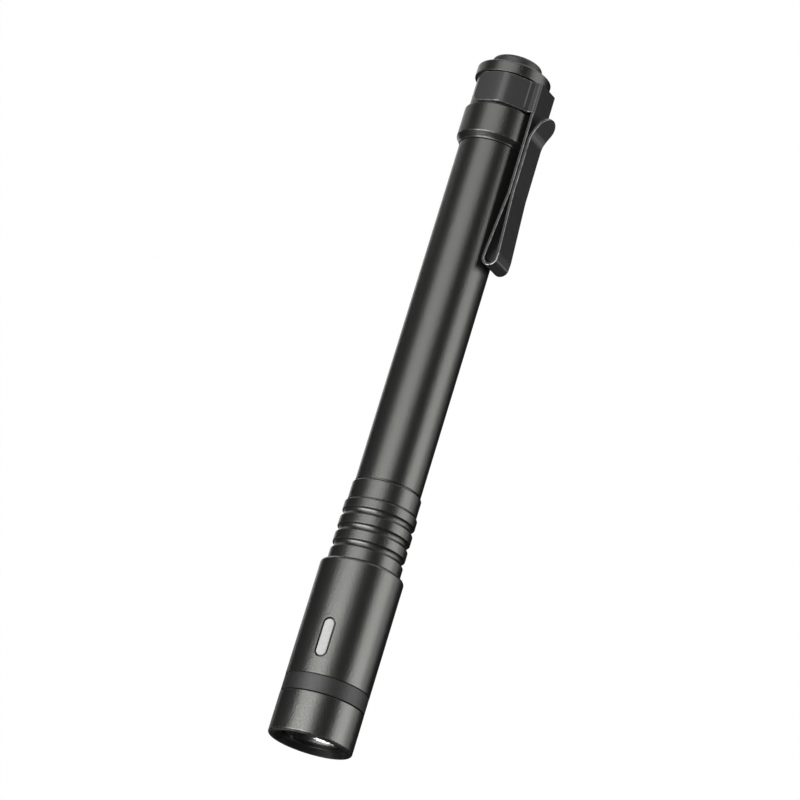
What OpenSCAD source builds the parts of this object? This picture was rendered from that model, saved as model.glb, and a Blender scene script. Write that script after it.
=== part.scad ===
// Penlight for two slim cells, with a tail button, a side key and a folded two-way pocket clip.
// Every piece is turned about one axis. Stations run from the front rim towards the tail.

/* [Cells] */
// Diameter of one cell
cell_d = 10.5; // [9:0.1:13]
// Length of one cell, with its raised contact
cell_len = 44.5; // [35:0.5:55]
// Diameter of the raised contact on a cell
cell_nub_d = 3.8; // [3:0.1:5]
// Height of the raised contact on a cell
cell_nub_h = 1.0; // [0.6:0.1:1.5]
// Free space around a cell in its bore
cell_gap = 0.35; // [0.2:0.05:0.6]

/* [Tube and neck] */
// Wall of the plain tube
tube_wall = 1.15; // [0.9:0.05:1.6]
// Wall of the tube's threaded spigots
spigot_wall = 0.7; // [0.55:0.05:0.9]
// Length of the tube's front spigot inside the neck
front_spigot_len = 6.9; // [5:0.1:9]
// Length of the tube's tail spigot inside the tail cap
tail_spigot_len = 4.9; // [4:0.1:6.5]
// Wall of the ribbed neck, from the cell bore to the rib crests
neck_wall = 1.85; // [1.6:0.05:2.4]
// Length of the ribbed neck that shows
neck_len = 13; // [11:0.1:17]
// Length of the plain land behind the ribs
land_len = 4.2; // [3.5:0.1:6]
// Step from the rib crests down to the land
land_step = 0.35; // [0.2:0.05:0.5]
// Number of grooves in the neck
groove_count = 3; // [1:1:3]
// Distance from one groove to the next
groove_pitch = 3.4; // [2.8:0.1:4]
// Width of a groove at the rib crests
groove_w = 1.6; // [1:0.05:1.8]
// Depth of a groove
groove_depth = 0.45; // [0.3:0.05:0.6]
// Plain length from the head to the middle of the first groove
groove_start = 3.4; // [2.5:0.1:4.5]

/* [Head] */
// Wall of the neck's spigot inside the head
neck_spigot_wall = 1.4; // [1.1:0.05:1.8]
// Length of the neck's spigot inside the head
neck_spigot_len = 5.5; // [4.5:0.1:7]
// Wall of the head sleeve
head_wall = 1.475; // [1.2:0.025:1.9]
// Length of the head sleeve that shows
sleeve_len = 24.3; // [22:0.1:30]
// Depth of the rubber band in the head, which is also its thickness
band_t = 0.975; // [0.8:0.025:1.2]
// Length of the rubber band
band_len = 3.5; // [2.8:0.1:4.5]
// Length of the bezel
bezel_len = 8.5; // [7.5:0.1:10.5]
// Rounding of the bezel's front edge
bezel_round = 0.7; // [0.4:0.05:1]
// Depth from the front rim to the lens seat
lens_depth = 1.4; // [1.1:0.1:2]
// Edge thickness of the lens
lens_t = 1.5; // [1.2:0.1:2]
// Height of the lens's domed front
lens_dome = 0.5; // [0.3:0.05:0.7]
// Width of the bezel's lip over the lens
lens_lip = 0.7; // [0.5:0.05:1]
// Thickness of the reflector's wall
reflector_t = 0.5; // [0.4:0.05:0.7]
// Thickness of the light source's board
led_board_t = 1.2; // [0.8:0.1:1.6]
// Thickness of the heat sink
heat_sink_t = 2.6; // [2.2:0.1:3]
// Thickness of the driver board
driver_t = 1.2; // [0.8:0.1:1.6]
// Length of the front contact spring as fitted
front_spring_len = 5.6; // [4.5:0.1:7]

/* [Side key] */
// Length of the key's slot along the head
slot_len = 8.1; // [7:0.1:9.5]
// Width of the key's slot
slot_w = 2.6; // [2.2:0.1:3.2]
// Gap between the key and its slot
key_gap = 0.25; // [0.15:0.05:0.3]
// Distance from the rubber band to the front end of the key's slot
key_lead = 3.45; // [3.4:0.05:5]
// Angle from the clip round to the key
key_angle = 80; // [60:1:120]
// Travel of the key
key_travel = 0.4; // [0.2:0.05:0.5]

/* [Tail cap] */
// Wall of the tail cap outside its thread
cap_wall = 1.4; // [1.2:0.05:1.8]
// Length of the cap's front chamfer
cap_chamfer_len = 1.3; // [1:0.1:1.6]
// Length of the collar in front of the clip groove
front_collar_len = 6.5; // [5.5:0.1:8]
// Length of the collar behind the clip groove
rear_collar_len = 2.6; // [2.2:0.1:3.2]
// Thickness of the cap's end wall round the button
cap_end_t = 1.8; // [1.4:0.1:2.2]
// Diameter of the button
button_d = 10.5; // [8.5:0.1:10.6]
// Height of the button above the cap
button_rise = 2.7; // [2.2:0.1:3.4]
// Travel of the button
button_travel = 1.6; // [1:0.1:1.9]
// Length of the tail contact spring as fitted
tail_spring_len = 9; // [7.5:0.1:11]

/* [Clip] */
// Thickness of the clip's spring strip
clip_t = 0.6; // [0.5:0.05:0.7]
// Width of the clip's band round the cap
clip_band_w = 6.6; // [5.5:0.1:7]
// Width of the clip's strip at the band
clip_base_w = 6.4; // [5.6:0.1:7]
// Width of the clip's strip at the fold
clip_fold_w = 5.4; // [5:0.1:6.4]
// Width of the clip's strip near the tip
clip_tip_w = 5; // [4.4:0.1:5.8]
// Angle from the clip's middle round to each end of the band
clip_wrap = 114; // [105:1:125]
// Length of the strip from the band down to the fold
clip_len = 34.3; // [28:0.1:42]
// Clearance from the strip to the cap's collars
clip_rise = 0.65; // [0.45:0.05:0.9]
// Clearance from the strip to the tube at the fold
clip_tube_gap = 0.15; // [0.1:0.05:0.3]
// Share of the strip that runs straight before it bends in to the fold
clip_straight = 0.52; // [0.4:0.02:0.6]
// Gap between the strip's two runs near the tip
clip_run_gap = 0.2; // [0.15:0.05:0.4]
// Width of the open loop at the fold
clip_loop = 2.5; // [2:0.1:3]
// Length of the flared tip
clip_flare_len = 5.2; // [4:0.1:6.5]
// Rise of the flared tip
clip_flare_h = 2.5; // [1.5:0.1:3]

/* [Hidden] */
$fn = 96;
eps = 0.01;

// Clearances: threads and press seats, sliding pieces, seams that show, faces that meet
thread_gap = 0.05;
slide_gap = 0.08;
seam = 0.2;
face_gap = 0.05;

// Radii, built outwards from the cell
bore_r = cell_d / 2 + cell_gap;
tube_r = bore_r + tube_wall;
spigot_r = bore_r + spigot_wall;
neck_r = bore_r + neck_wall;
land_r = neck_r - land_step;
neck_spigot_r = bore_r + neck_spigot_wall;
head_bore_r = neck_spigot_r + thread_gap;
head_r = head_bore_r + head_wall;
nose_r = head_r - band_t;
nose_wall = 0.6;
nose_bore_r = nose_r - nose_wall;
module_r = nose_bore_r - thread_gap;
lens_r = module_r;
mouth_step = 0.35;
mouth_r = lens_r + mouth_step;
lip_r = lens_r - lens_lip;
rim_gap = 0.1;
reflector_rim_r = nose_r - rim_gap;
cap_bore_r = spigot_r + thread_gap;
cap_r = cap_bore_r + cap_wall;
groove_floor_r = cap_r - clip_t - face_gap;
switch_ledge = 0.3;
switch_bore_r = cap_bore_r - switch_ledge;
button_r = button_d / 2;
wire_hole_r = 0.6;

// Stations of the head
z_band = bezel_len;
z_sleeve = z_band + band_len;
z_neck = z_sleeve + sleeve_len;
z_spigot = z_neck - neck_spigot_len;
z_lens_back = lens_depth + lens_t;
lip_edge = 0.3;
gasket_t = 0.8;
z_reflector = z_lens_back + gasket_t;
flange_t = 0.6;
z_nose = z_reflector + flange_t;
led_board_drop = 1.4;
z_led_board = z_sleeve - led_board_drop;
z_heat_sink = z_led_board + led_board_t;
z_carrier = z_heat_sink + heat_sink_t;
z_driver = z_spigot - driver_t;
z_key = z_sleeve + key_lead + slot_len / 2;

// Stations of the neck, the cells and the tail
z_land = z_neck + neck_len;
z_tube = z_land + land_len;
contact_t = 0.4;
front_contact_r = cell_nub_d * 0.8;
z_spring = z_spigot + contact_t;
z_cells = z_spring + front_spring_len;
z_cells_end = z_cells + 2 * cell_len;
z_tail_contact = z_cells_end + tail_spring_len;
retainer_t = 1.5;
retainer_gap = 0.3;
tail_contact_t = 0.8;
tail_contact_r = bore_r * 0.75;
z_switch = z_tail_contact + tail_contact_t;
z_retainer = z_switch - retainer_t;
z_tail_spigot_end = z_retainer - retainer_gap;
z_cap = z_tail_spigot_end - tail_spigot_len;
z_collar = z_cap + cap_chamfer_len;
z_groove = z_collar + front_collar_len;
clip_side_gap = 0.25;
groove_len = clip_band_w + 2 * clip_side_gap;
z_rear_collar = z_groove + groove_len;
z_cap_end = z_rear_collar + rear_collar_len;
z_end_wall = z_cap_end - cap_end_t;
z_button_top = z_cap_end + button_rise;
button_flange_t = 1.2;
z_flange = z_end_wall - face_gap - button_flange_t;
spring_room = 3.4;
z_switch_end = z_flange - spring_room;
seal_w = 0.5;
seal_h = 0.8;
z_button_seal = z_cap_end - cap_end_t / 2;
tail_seal_depth = 0.3;
tail_seal_drop = 0.9;
z_tail_seal = z_cap + tail_seal_drop;
neck_seal_r = 0.34;
z_neck_seal = z_neck - neck_spigot_len * 0.45;
plunger_r = 1.5;
front_wire_d = 0.5;
front_turns = 4.5;
tail_wire_d = 0.6;
tail_turns = 6;
button_wire_d = 0.4;
button_turns = 2.5;

// Heights and stations of the key, its switch and its board
key_sink = 0.08;
key_face_r = head_r - key_sink;
key_flange_w = slot_w + 1.2;
key_flange_len = slot_len + 1.2;
key_flange_t = 0.6;
key_flange_v = sqrt(head_bore_r * head_bore_r - key_flange_w * key_flange_w / 4) - rim_gap;
key_foot_v = key_flange_v - key_flange_t;
key_rest = 0.6;
stem_r = 0.8;
stem_in = 0.5;
switch_v = key_foot_v - key_travel - key_rest;
switch_h = 1.3;
switch_side = 3.6;
board_t = 0.8;
board_v = switch_v - switch_h;
board_inset = 2.4;
board_w = 2 * (module_r - board_inset);
board_lead = 0.6;
z_board = z_carrier + board_lead;
board_tail = 3.5;
z_board_end = z_key + slot_len / 2 + board_tail;

// The clip's heights over the axis and its stations
clip_in = cap_r + clip_rise;
clip_out = clip_in + clip_t;
z_clip_band = z_groove + clip_side_gap;
z_fold = z_clip_band - clip_len;
fold_in_r = clip_loop / 2;
fold_r = fold_in_r + clip_t / 2;
fold_v = tube_r + clip_tube_gap + clip_t + fold_in_r;
z_fold_axis = z_fold + clip_t + fold_in_r;
run_v = clip_out + clip_run_gap + clip_t / 2;
z_bend = z_clip_band - clip_len * clip_straight;
tongue_start = 1.2;
z_tongue = z_fold_axis + tongue_start;
tip_back = 0.1;
z_tip = z_clip_band - tip_back;
z_flare = z_tip - clip_flare_len;
flex_gap = 0.05;
fold_ease = 0.04;
bend_ease = 0.04;
clip_reach = 20;

// Points of an arc, from angle a0 to a1 about [cx, cy]
function arc(cx, cy, r, a0, a1, n = 8) =
    [for (i = [0:n]) let (a = a0 + (a1 - a0) * i / n) [cx + r * cos(a), cy + r * sin(a)]];

// Outline of a strip of thickness t along a middle line of points
function strip_dir(p, i) =
    let (a = p[max(i - 1, 0)], b = p[min(i + 1, len(p) - 1)]) (b - a) / norm(b - a);
function strip_side(p, t, s) =
    [for (i = [0:len(p) - 1]) let (d = strip_dir(p, i)) p[i] + s * t / 2 * [-d[1], d[0]]];
function strip(p, t) =
    let (a = strip_side(p, t, 1), b = strip_side(p, t, -1), n = len(p))
    concat(a, [for (i = [n - 1:-1:0]) b[i]]);

// A round piece turned from an outline of [radius, station]
module turned(points) rotate_extrude() polygon(points);

// A plain ring between two radii and two stations
module ring(r_in, r_out, z0, z1) turned([[r_in, z0], [r_out, z0], [r_out, z1], [r_in, z1]]);

// A rubber ring of round section about the axis
module o_ring(r_mid, r_wire, z) rotate_extrude() translate([r_mid, z]) circle(r = r_wire, $fn = 32);

// An upright stadium, long along the axis, standing out along +Y from radius v0 to v1
module stadium(length, width, v0, v1) {
    run = length - width;
    translate([0, v0, 0]) rotate([-90, 0, 0]) {
        for (s = [-1, 1]) translate([0, s * run / 2, 0]) cylinder(d = width, h = v1 - v0, $fn = 48);
        translate([-width / 2, -run / 2, 0]) cube([width, run, v1 - v0]);
    }
}

// A box centred across the axis, from height v0 to v1 and station z0 to z1
module block(width, v0, v1, z0, z1) translate([-width / 2, v0, z0]) cube([width, v1 - v0, z1 - z0]);

// Brings the key's own direction, +Y, round to its place on the head
module at_key() rotate([0, 0, -key_angle]) children();

// A coil of round wire about the axis, one unbroken tube of triangles
module coil(r0, r1, wire_d, z0, z1, turns) {
    rings = 16;
    sides = 6;
    n = round(turns * rings);
    rise = z1 - z0 - wire_d;
    points = [for (i = [0:n]) let (a = 360 * turns * i / n, r = r0 + (r1 - r0) * i / n)
        for (j = [0:sides - 1]) let (b = 360 * j / sides, w = wire_d / 2, q = r + w * cos(b))
            [q * cos(a), q * sin(a), z0 + w + rise * i / n + w * sin(b)]];
    quads = [for (i = [0:n - 1]) for (j = [0:sides - 1])
        let (k = (j + 1) % sides, p = i * sides, q = p + sides) [p + j, p + k, q + k, q + j]];
    walls = [for (f = quads) each [[f[0], f[2], f[1]], [f[0], f[3], f[2]]]];
    start = [for (j = [1:sides - 2]) [0, j, j + 1]];
    finish = [for (j = [1:sides - 2]) [n * sides, n * sides + j + 1, n * sides + j]];
    polyhedron(points, concat(walls, start, finish), convexity = 10);
}

// Head pieces

module bezel() color("#2b2b2d") turned(concat(
    [[mouth_r, 0]],
    arc(head_r - bezel_round, bezel_round, bezel_round, -90, 0),
    [
        [head_r, bezel_len - seam], [nose_r + thread_gap, bezel_len - seam],
        [nose_r + thread_gap, z_lens_back], [lens_r + thread_gap, z_lens_back],
        [lens_r + thread_gap, lens_depth], [lip_r, lens_depth], [lip_r, lens_depth - lip_edge]
    ]
));

module lens() color("#9fb6ae", 0.5) {
    dome_r = lip_r - rim_gap;
    curve_r = (dome_r * dome_r + lens_dome * lens_dome) / (2 * lens_dome);
    half = asin(dome_r / curve_r);
    turned(concat(
        arc(0, lens_depth - lens_dome + curve_r, curve_r, -90, -90 + half),
        [[lens_r, lens_depth], [lens_r, z_lens_back], [0, z_lens_back]]
    ));
}

module lens_gasket() color("#202020") ring(lip_r, lens_r, z_lens_back, z_reflector);

// The cup's inner wall is a parabola from its mouth to the hole for the light source
module reflector() color("#d8d8d8") {
    mouth = lip_r;
    hole = 2;
    depth = z_led_board - z_reflector - seam;
    steps = 10;
    inner = [for (i = [0:steps]) let (r = mouth + (hole - mouth) * i / steps)
        [r, z_reflector + depth * (mouth * mouth - r * r) / (mouth * mouth - hole * hole)]];
    outer = [for (i = [steps:-1:0]) [inner[i][0] + reflector_t, inner[i][1]]];
    turned(concat(inner, outer));
    ring(mouth, reflector_rim_r, z_reflector, z_nose);
}

module led_emitter() color("#e8d95a") {
    side = 2.6;
    base = 0.5;
    dome_r = 1.1;
    translate([-side / 2, -side / 2, z_led_board - base]) cube([side, side, base]);
    intersection() {
        translate([0, 0, z_led_board - base]) sphere(r = dome_r, $fn = 48);
        translate([-side, -side, z_led_board - side]) cube([2 * side, 2 * side, side - base / 2]);
    }
}

module led_board() color("#e9e9e4") ring(wire_hole_r, module_r, z_led_board, z_heat_sink);

module heat_sink() color("#b9bcc0") ring(2 * wire_hole_r, module_r, z_heat_sink, z_carrier);

module head_sleeve() color("#2f2f31") {
    shoulder = head_r - neck_r;
    difference() {
        turned(concat(
            [
                [nose_bore_r, z_nose], [nose_r, z_nose], [nose_r, z_sleeve], [head_r, z_sleeve]
            ],
            arc(head_r - shoulder, z_neck - shoulder, shoulder, 0, 90),
            [[head_bore_r, z_neck], [head_bore_r, z_carrier], [nose_bore_r, z_carrier]]
        ));
        at_key() translate([0, 0, z_key]) stadium(slot_len, slot_w, head_bore_r / 2, head_r + 1);
    }
}

module band_ring() color("#3a3a3b") ring(nose_r, head_r, z_band, z_sleeve);

// Side key pieces, built along +Y and turned to their place

module side_key() color("#c9cac6") at_key() {
    intersection() {
        translate([0, 0, z_key]) stadium(slot_len - 2 * key_gap, slot_w - 2 * key_gap, key_foot_v, head_r);
        cylinder(r = key_face_r, h = z_neck);
    }
    translate([0, 0, z_key]) stadium(key_flange_len, key_flange_w, key_foot_v, key_flange_v);
}

module key_stem() color("#1c1c1c") at_key()
    translate([0, switch_v - stem_in, z_key]) rotate([-90, 0, 0])
        cylinder(r = stem_r, h = key_foot_v - switch_v + stem_in);

module key_switch() color("#8f9296") at_key() difference() {
    hole_v = switch_v - stem_in - key_travel - rim_gap;
    block(switch_side, board_v, switch_v, z_key - switch_side / 2, z_key + switch_side / 2);
    translate([0, hole_v, z_key]) rotate([-90, 0, 0]) cylinder(r = stem_r + slide_gap, h = switch_h);
}

module key_board() color("#1f6b3a") at_key() block(board_w, board_v - board_t, board_v, z_board, z_board_end);

module status_led() color("#e6f2d0") at_key() {
    led_w = 1.6;
    led_h = 0.7;
    z_led = z_key + switch_side / 2 + 0.5;
    block(led_w, board_v, board_v + led_h, z_led, z_led + led_w / 2);
}

// The carrier fills the head under the key's board, with a channel for the wires
module board_carrier() color("#4a4a4a") at_key() difference() {
    channel_w = 2.4;
    translate([0, 0, z_carrier]) cylinder(r = module_r, h = z_driver - z_carrier);
    block(4 * module_r, board_v - board_t, 2 * module_r, 0, z_neck);
    block(channel_w, -channel_w / 2, 2 * module_r, 0, z_neck);
}

module driver_board() color("#1f6b3a") ring(wire_hole_r, head_bore_r - thread_gap, z_driver, z_spigot);

module driver_chip() color("#151515") at_key() {
    chip_w = 3;
    chip_h = 2.4;
    chip_t = 1.2;
    block(chip_w, board_v, board_v + chip_h, z_driver - chip_t, z_driver);
}

module front_contact() color("#c9a54a")
    translate([0, 0, z_spigot]) cylinder(r = front_contact_r, h = contact_t);

module front_spring() color("#c9a54a") coil(
    front_contact_r - front_wire_d, cell_nub_d / 2 - front_wire_d / 2, front_wire_d,
    z_spring, z_cells, front_turns
);

// Neck, tube and cells

module grip_neck() color("#2f2f31") {
    socket_r = spigot_r + thread_gap;
    z_socket = z_tube - front_spigot_len;
    neck_edge = 0.3;
    land_edge = 0.25;
    seal_gap = 0.16;
    groove_r = (groove_w * groove_w / 4 + groove_depth * groove_depth) / (2 * groove_depth);
    difference() {
        turned([
            [bore_r, z_spigot], [neck_spigot_r, z_spigot], [neck_spigot_r, z_neck], [neck_r, z_neck],
            [neck_r, z_land - neck_edge], [neck_r - neck_edge, z_land], [land_r, z_land],
            [land_r, z_tube - land_edge], [land_r - land_edge, z_tube], [socket_r, z_tube],
            [socket_r, z_socket], [bore_r, z_socket]
        ]);
        for (i = [0:groove_count - 1])
            o_ring(neck_r - groove_depth + groove_r, groove_r, z_neck + groove_start + i * groove_pitch);
        ring(
            neck_spigot_r - 2 * neck_seal_r - 2 * eps, head_r,
            z_neck_seal - neck_seal_r - seal_gap, z_neck_seal + neck_seal_r + seal_gap
        );
    }
}

module neck_oring() color("#1a1a1a") o_ring(neck_spigot_r - neck_seal_r - eps, neck_seal_r, z_neck_seal);

module body_tube() color("#2f2f31") {
    z_socket = z_tube - front_spigot_len;
    edge = 0.3;
    thread_pitch = 0.6;
    thread_w = 0.44;
    thread_depth = 0.25;
    thread_lead = 1;
    difference() {
        turned([
            [bore_r, z_socket + face_gap], [spigot_r, z_socket + face_gap], [spigot_r, z_tube],
            [tube_r, z_tube], [tube_r, z_cap - face_gap], [spigot_r, z_cap - face_gap],
            [spigot_r, z_tail_spigot_end - edge], [spigot_r - edge, z_tail_spigot_end],
            [bore_r, z_tail_spigot_end]
        ]);
        ring(
            spigot_r - tail_seal_depth - eps, tube_r,
            z_tail_seal - seal_h / 2 - face_gap, z_tail_seal + seal_h / 2 + face_gap
        );
        for (z = [z_tail_seal + thread_lead:thread_pitch:z_tail_spigot_end - edge - thread_w])
            turned([
                [spigot_r + eps, z - thread_w / 2], [spigot_r - thread_depth, z],
                [spigot_r + eps, z + thread_w / 2]
            ]);
    }
}

module cell() {
    r = cell_d / 2;
    edge = 0.4;
    turned([
        [0, 0], [cell_nub_d / 2, 0], [cell_nub_d / 2, cell_nub_h], [r - edge, cell_nub_h],
        [r, cell_nub_h + edge], [r, cell_len - edge], [r - edge, cell_len], [0, cell_len]
    ]);
}

module cell_front() color("#56606a") translate([0, 0, z_cells]) cell();

module cell_rear() color("#56606a") translate([0, 0, z_cells + cell_len]) cell();

module tail_oring() color("#1a1a1a")
    ring(spigot_r - tail_seal_depth, spigot_r, z_tail_seal - seal_h / 2, z_tail_seal + seal_h / 2);

// Tail cap pieces

// The collars slope down to the clip's groove, and the end wall holds the button's seal
module tail_cap() color("#2f2f31") {
    edge = 0.35;
    slope = 0.6;
    hole_r = button_r + slide_gap;
    difference() {
        turned([
            [cap_bore_r, z_cap], [tube_r + face_gap, z_cap], [cap_r, z_collar], [cap_r, z_groove - slope],
            [groove_floor_r, z_groove], [groove_floor_r, z_rear_collar], [cap_r, z_rear_collar + slope],
            [cap_r, z_cap_end - edge], [cap_r - edge, z_cap_end], [hole_r, z_cap_end], [hole_r, z_end_wall],
            [switch_bore_r, z_end_wall], [switch_bore_r, z_switch], [cap_bore_r, z_switch]
        ]);
        ring(button_r, hole_r + seal_w + face_gap, z_button_seal - seal_h / 2, z_button_seal + seal_h / 2);
    }
}

module tail_button() color("#38383a") {
    round_r = 0.7;
    flange_r = switch_bore_r - slide_gap;
    z_top = z_end_wall - face_gap;
    turned(concat(
        [[0, z_flange], [flange_r, z_flange], [flange_r, z_top], [button_r, z_top]],
        arc(button_r - round_r, z_button_top - round_r, round_r, 0, 90),
        [[0, z_button_top]]
    ));
}

module button_oring() color("#1a1a1a") ring(
    button_r + slide_gap, button_r + slide_gap + seal_w,
    z_button_seal - seal_h / 2 + face_gap, z_button_seal + seal_h / 2 - face_gap
);

module switch_plunger() color("#d9d5c8") {
    z_low = z_switch_end - button_travel;
    translate([0, 0, z_low]) cylinder(r = plunger_r, h = z_flange - z_low);
}

module switch_body() color("#26303a") difference() {
    floor_t = 0.6;
    translate([0, 0, z_switch]) cylinder(r = switch_bore_r - thread_gap, h = z_switch_end - z_switch);
    translate([0, 0, z_switch + floor_t]) cylinder(r = plunger_r + slide_gap, h = z_switch_end - z_switch);
}

module button_spring() color("#b8b8b8") coil(
    button_r - 4 * button_wire_d, plunger_r + 3 * button_wire_d, button_wire_d,
    z_switch_end, z_flange, button_turns
);

module switch_retainer() color("#c2a24e")
    ring(tail_contact_r + rim_gap, cap_bore_r - thread_gap, z_retainer, z_switch);

module tail_contact() color("#c9a54a")
    translate([0, 0, z_tail_contact]) cylinder(r = tail_contact_r, h = tail_contact_t);

module tail_spring() color("#c9a54a") coil(
    cell_d / 4, tail_contact_r - tail_wire_d, tail_wire_d, z_cells_end, z_tail_contact, tail_turns
);

// Clip: one folded strip of spring steel, cut where it flexes

// Middle line of the run next to the tube, from the band down to the fold and round it
arm_line = concat(
    [[z_clip_band - flex_gap, clip_in + clip_t / 2], [z_bend, clip_in + clip_t / 2]],
    arc(z_fold_axis, fold_v, fold_r, -90, -270, 16),
    [[z_tongue - flex_gap, fold_v + fold_r - fold_ease]]
);

// Middle line of the outer run, from the fold back up to the flared tip
tongue_line = [
    [z_tongue, fold_v + fold_r - fold_ease], [z_bend, run_v + bend_ease], [z_flare, run_v],
    [z_flare + clip_flare_len * 0.4, run_v + clip_flare_h * 0.3], [z_tip, run_v + clip_flare_h]
];

// A strip that stands along +Y over the axis, cut from its side outline and its plan
module clip_strip(line) intersection() {
    rotate([0, -90, 0]) linear_extrude(height = clip_reach, center = true) polygon(strip(line, clip_t));
    translate([0, clip_reach, 0]) rotate([90, 0, 0]) linear_extrude(height = clip_reach) children();
}

module clip_arm() color("#333335") clip_strip(arm_line) polygon([
    [-clip_base_w / 2, z_clip_band], [clip_base_w / 2, z_clip_band],
    [clip_fold_w / 2, z_fold], [clip_fold_w / 2, z_fold - 1],
    [-clip_fold_w / 2, z_fold - 1], [-clip_fold_w / 2, z_fold]
]);

module clip_tongue() color("#333335") {
    tip_r = clip_tip_w / 2;
    clip_strip(tongue_line) polygon(concat(
        [[-clip_fold_w / 2, z_fold], [clip_fold_w / 2, z_fold]],
        arc(0, z_tip - tip_r, tip_r, 0, 180, 24)
    ));
}

// The band hugs the groove, leaves it at a flat toe on each side and rises to the plate under the strip
clip_mid = clip_in + clip_t / 2;
band_mid_r = groove_floor_r + face_gap + clip_t / 2;
toe_a = 30;
toe_len = 1.1;
riser_u = clip_base_w / 2 - clip_t / 2;
corner = 0.35;
arc_steps = 14;
band_half = concat(
    [for (i = [0:arc_steps]) let (a = clip_wrap + (toe_a - clip_wrap) * i / arc_steps)
        band_mid_r * [sin(a), cos(a)]],
    [
        band_mid_r * [sin(toe_a), cos(toe_a)] + toe_len * [-cos(toe_a), sin(toe_a)],
        [riser_u, clip_mid - corner], [riser_u - corner, clip_mid]
    ]
);
band_line = concat(
    band_half,
    [for (i = [len(band_half) - 1:-1:0]) [-band_half[i][0], band_half[i][1]]]
);

module clip_band() color("#333335")
    translate([0, 0, z_clip_band]) linear_extrude(height = clip_band_w) polygon(strip(band_line, clip_t));

// Lays the light along X, with the beam towards +X and the clip towards +Y
module lay() rotate([0, -90, 0]) children();

lay() bezel();
lay() lens();
lay() lens_gasket();
lay() reflector();
lay() led_emitter();
lay() led_board();
lay() heat_sink();
lay() head_sleeve();
lay() band_ring();
lay() side_key();
lay() key_stem();
lay() key_switch();
lay() key_board();
lay() status_led();
lay() board_carrier();
lay() driver_board();
lay() driver_chip();
lay() front_contact();
lay() front_spring();
lay() grip_neck();
lay() neck_oring();
lay() body_tube();
lay() cell_front();
lay() cell_rear();
lay() tail_oring();
lay() tail_cap();
lay() clip_band();
lay() clip_arm();
lay() clip_tongue();
lay() tail_spring();
lay() tail_contact();
lay() switch_retainer();
lay() switch_body();
lay() switch_plunger();
lay() button_spring();
lay() button_oring();
lay() tail_button();
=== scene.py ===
"""Looks of a slim black penlight on plain white: turned metal, a folded spring clip, a lens and two keys."""
import math

import bpy
import numpy as np
from mathutils import Matrix, Vector


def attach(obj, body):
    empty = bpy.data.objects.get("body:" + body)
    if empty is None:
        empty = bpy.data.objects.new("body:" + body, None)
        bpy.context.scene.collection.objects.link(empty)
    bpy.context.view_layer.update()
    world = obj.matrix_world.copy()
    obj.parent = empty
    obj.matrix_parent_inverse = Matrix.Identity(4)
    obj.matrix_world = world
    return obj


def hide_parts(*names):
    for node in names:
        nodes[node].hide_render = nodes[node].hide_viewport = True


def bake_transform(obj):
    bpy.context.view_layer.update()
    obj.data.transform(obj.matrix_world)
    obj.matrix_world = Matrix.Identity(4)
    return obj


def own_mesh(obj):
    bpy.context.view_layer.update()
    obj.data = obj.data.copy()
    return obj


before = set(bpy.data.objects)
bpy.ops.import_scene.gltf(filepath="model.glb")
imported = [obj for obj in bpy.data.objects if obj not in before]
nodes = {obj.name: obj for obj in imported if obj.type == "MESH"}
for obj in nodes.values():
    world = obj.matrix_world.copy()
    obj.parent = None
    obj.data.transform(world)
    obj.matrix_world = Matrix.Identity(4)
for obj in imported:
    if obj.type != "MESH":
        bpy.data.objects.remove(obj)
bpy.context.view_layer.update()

MM = 0.001

# Radii in millimetres, as in the part
HEAD_R = 8.525
NOSE_R = 7.55
NECK_R = 7.45
LAND_R = 7.1
TUBE_R = 6.75
SPIGOT_R = 6.3
BORE_R = 5.6
CAP_R = 7.75
GROOVE_R = 7.1
BUTTON_R = 5.25

# Stations in millimetres from the front rim towards the tail, where each piece or step begins. Z_END and
# Z_TOP are the ends of the cap and of its button.
Z_SEAT = 1.4
Z_GASKET = 2.9
Z_CUP = 3.7
Z_NOSE = 4.3
Z_BAND = 8.5
Z_SLEEVE = 12.0
Z_NECK = 36.3
Z_LAND = 49.3
Z_TUBE = 53.5
Z_CAP = 128.9
Z_COLLAR = 130.2
Z_GROOVE = 136.7
Z_REAR = 143.8
Z_END = 146.4
Z_TOP = 149.1

# Roundings of turned corners in millimetres
PLAIN, CRISP, FINE, EASED, SOFT, BLUNT = 0.04, 0.05, 0.08, 0.1, 0.12, 0.2
SHARP = 0.0


def place(station, y, z):
    """A point in metres from a station along the axis and two heights in millimetres."""
    return (-station * MM, y * MM, z * MM)


# Mesh building

STRAIGHT = 1e-3  # radians, under which a corner isn't rounded
WORN_TURN = 0.35  # radians, over which an outer corner shows wear
ARC_STEP = math.radians(14)
LONGEST_REACH = 0.49  # of a side, taken by the round at its end
TINY = 1e-6


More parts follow.
